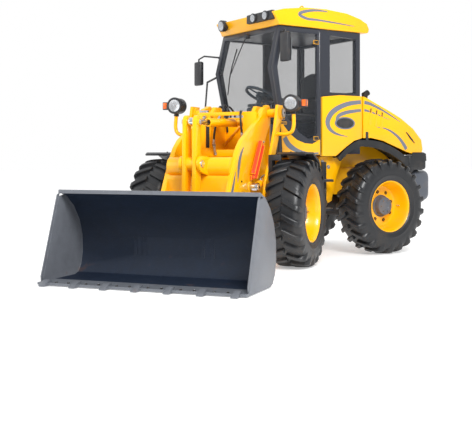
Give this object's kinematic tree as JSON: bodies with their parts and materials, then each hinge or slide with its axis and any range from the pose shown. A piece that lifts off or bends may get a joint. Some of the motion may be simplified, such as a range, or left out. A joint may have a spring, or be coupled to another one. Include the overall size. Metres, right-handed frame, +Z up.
{
  "type": "wheel loader",
  "caption": "Compact articulated wheel loader with an enclosed cab, a rocker-type boom and a toothed bucket.",
  "frame": {"origin": "on the ground under the middle of the bounding box, with the front frame turned to its left as parked", "axes": "+Z up; the rear frame faces -Y, and its left side is +X"},
  "size_m": [3.4996, 5.2098, 2.745],
  "materials": {
    "bucket_steel": "worn",
    "chrome": "polished",
    "dark_paint": "satin",
    "glass": "clear",
    "grey_paint": "satin",
    "iron": "matte",
    "plastic": "matte",
    "rubber": "matte",
    "seat_cloth": "woven",
    "tyre": "matte",
    "yellow_paint": "satin"
  },
  "bodies": {
    "rear_frame": {"rear_chassis": "yellow_paint", "rear_axle": "iron", "counterweight": "grey_paint", "rear_bumper": "rubber", "engine_block": "iron", "side_panel_left": "yellow_paint", "side_panel_right": "yellow_paint", "cab_frame": "dark_paint", "windscreen": "glass", "rear_window": "glass", "side_window_left": "glass", "side_window_right_rear": "glass", "side_window_right_front": "glass", "cab_roof": "yellow_paint", "seat": "seat_cloth", "steering_column": "dark_paint", "mirror_right": "plastic", "grab_rail_right": "plastic", "steps_left": "plastic"},
    "hood": {"hood": "yellow_paint", "exhaust_tip": "grey_paint"},
    "door": {"door_left": "dark_paint", "door_glass": "glass", "mirror_left": "plastic"},
    "wheel_rear_left": {"tyre_rear_left": "tyre", "rim_rear_left": "yellow_paint"},
    "wheel_front_left": {"tyre_front_left": "tyre", "rim_front_left": "yellow_paint"},
    "wheel_rear_right": {"tyre_rear_right": "tyre", "rim_rear_right": "yellow_paint"},
    "wheel_front_right": {"tyre_front_right": "tyre", "rim_front_right": "yellow_paint"},
    "front_frame": {"front_chassis": "yellow_paint", "front_axle": "iron", "fender_left": "plastic", "fender_right": "plastic", "headlight_left": "plastic", "headlight_right": "plastic"},
    "boom": {"boom": "yellow_paint"},
    "rocker_pin": {"rocker_pin": "chrome"},
    "rocker": {"rocker": "yellow_paint"},
    "bucket_shaft": {"bucket_pivot_shaft": "chrome"},
    "bucket": {"bucket": "bucket_steel", "cutting_edge": "bucket_steel"},
    "tilt_link": {"tilt_link": "yellow_paint"},
    "tilt_barrel": {"tilt_cylinder_barrel": "yellow_paint"},
    "tilt_rod": {"tilt_cylinder_rod": "chrome"},
    "lift_barrel_left": {"lift_cylinder_left_barrel": "yellow_paint"},
    "lift_rod_left": {"lift_cylinder_left_rod": "chrome"},
    "lift_barrel_right": {"lift_cylinder_right_barrel": "yellow_paint"},
    "lift_rod_right": {"lift_cylinder_right_rod": "chrome"},
    "steering_barrel": {"steering_cylinder_barrel": "yellow_paint"},
    "steering_rod": {"steering_cylinder_rod": "chrome"}
  },
  "joints": [
    {"name": "articulation", "type": "hinge", "parent": "rear_frame", "child": "front_frame", "pos_m": [-0.82979, 0.48486, 0], "axis": [0, 0, 1], "range_deg": [-76, 4]},
    {"name": "wheel_rear_left_spin", "type": "hinge", "parent": "rear_frame", "child": "wheel_rear_left", "pos_m": [-0.09979, 1.61386, 0.5375], "axis": [1, 0, 0], "continuous": true},
    {"name": "wheel_rear_right_spin", "type": "hinge", "parent": "rear_frame", "child": "wheel_rear_right", "pos_m": [-1.5598, 1.61386, 0.5375], "axis": [1, 0, 0], "continuous": true},
    {"name": "wheel_front_left_spin", "type": "hinge", "parent": "front_frame", "child": "wheel_front_left", "pos_m": [0.38671, 0.04481, 0.5375], "axis": [0.8115, 0.5844, 0], "continuous": true},
    {"name": "wheel_front_right_spin", "type": "hinge", "parent": "front_frame", "child": "wheel_front_right", "pos_m": [-0.79804, -0.8084, 0.5375], "axis": [0.8115, 0.5844, 0], "continuous": true},
    {"name": "hood_hinge", "type": "hinge", "parent": "rear_frame", "child": "hood", "pos_m": [-0.82979, 1.48286, 1.772], "axis": [1, 0, 0], "range_deg": [0, 45]},
    {"name": "door_hinge", "type": "hinge", "parent": "rear_frame", "child": "door", "pos_m": [-0.2398, 0.83486, 1.8], "axis": [0, 0, 1], "range_deg": [0, 100]},
    {"name": "boom_lift", "type": "hinge", "parent": "front_frame", "child": "boom", "pos_m": [-0.34475, -0.18866, 1.55], "axis": [-0.8115, -0.5844, 0], "range_deg": [0, 82]},
    {"name": "bucket_level", "type": "hinge", "parent": "boom", "child": "bucket_shaft", "pos_m": [0.43833, -1.27604, 0.27], "axis": [-0.8115, -0.5844, 0], "range_deg": [-83, 0]},
    {"name": "bucket_tilt", "type": "hinge", "parent": "bucket_shaft", "child": "bucket", "pos_m": [0.43833, -1.27604, 0.27], "axis": [0.8115, 0.5844, 0], "range_deg": [-40, 45]},
    {"name": "rocker_lift_share", "type": "hinge", "parent": "boom", "child": "rocker_pin", "pos_m": [0.33899, -1.13809, 1.03], "axis": [-0.8115, -0.5844, 0], "range_deg": [0, 17.06]},
    {"name": "rocker_swing", "type": "hinge", "parent": "rocker_pin", "child": "rocker", "pos_m": [0.33899, -1.13809, 1.03], "axis": [-0.8115, -0.5844, 0], "range_deg": [-6.3, 7.02]},
    {"name": "tilt_link_swing", "type": "hinge", "parent": "bucket", "child": "tilt_link", "pos_m": [0.54937, -1.43022, 0.45], "axis": [-0.8115, -0.5844, 0], "range_deg": [-3.11, 3.44]},
    {"name": "tilt_cylinder_swing", "type": "hinge", "parent": "front_frame", "child": "tilt_barrel", "pos_m": [-0.30384, -0.24547, 1.45], "axis": [-0.8115, -0.5844, 0], "range_deg": [0, 82.28]},
    {"name": "tilt_rod_slide", "type": "slide", "parent": "tilt_barrel", "child": "tilt_rod", "axis": [0.5842, -0.8112, -0.0273], "range_m": [-0.04148, 0.0371]},
    {"name": "lift_cylinder_left_swing", "type": "hinge", "parent": "front_frame", "child": "lift_barrel_left", "pos_m": [-0.21707, 0.30996, 0.95], "axis": [-0.8115, -0.5844, 0], "range_deg": [0, 52.32]},
    {"name": "lift_rod_left_slide", "type": "slide", "parent": "lift_barrel_left", "child": "lift_rod_left", "axis": [0.5761, -0.7999, -0.168], "range_m": [0, 0.65919]},
    {"name": "lift_cylinder_right_swing", "type": "hinge", "parent": "front_frame", "child": "lift_barrel_right", "pos_m": [-0.85813, -0.15171, 0.95], "axis": [-0.8115, -0.5844, 0], "range_deg": [0, 52.32]},
    {"name": "lift_rod_right_slide", "type": "slide", "parent": "lift_barrel_right", "child": "lift_rod_right", "axis": [0.5761, -0.7999, -0.168], "range_m": [0, 0.65919]},
    {"name": "steering_cylinder_swing", "type": "hinge", "parent": "rear_frame", "child": "steering_barrel", "pos_m": [-0.5198, 0.94486, 0.65], "axis": [0, 0, 1], "range_deg": [-38.5, 2.5]},
    {"name": "steering_rod_slide", "type": "slide", "parent": "steering_barrel", "child": "steering_rod", "axis": [0.307, -0.9517, 0], "range_m": [-0.02266, 0.39463]}
  ],
  "couplings": [
    {"joint": "bucket_level", "follows": "boom_lift", "ratio": -1},
    {"joint": "rocker_lift_share", "follows": "boom_lift", "ratio": 0.2019},
    {"joint": "rocker_swing", "follows": "bucket_tilt", "ratio": 0.14495},
    {"joint": "tilt_link_swing", "follows": "bucket_tilt", "ratio": 0.06525},
    {"joint": "tilt_cylinder_swing", "follows": "boom_lift", "ratio": 0.99732},
    {"joint": "tilt_rod_slide", "follows": "bucket_tilt", "m_per_rad": -0.05027},
    {"joint": "lift_cylinder_left_swing", "follows": "boom_lift", "ratio": 0.632},
    {"joint": "lift_rod_left_slide", "follows": "boom_lift", "m_per_rad": 0.4592},
    {"joint": "lift_cylinder_right_swing", "follows": "boom_lift", "ratio": 0.632},
    {"joint": "lift_rod_right_slide", "follows": "boom_lift", "m_per_rad": 0.4592},
    {"joint": "steering_cylinder_swing", "follows": "articulation", "ratio": 0.5},
    {"joint": "steering_rod_slide", "follows": "articulation", "m_per_rad": -0.296}
  ]
}
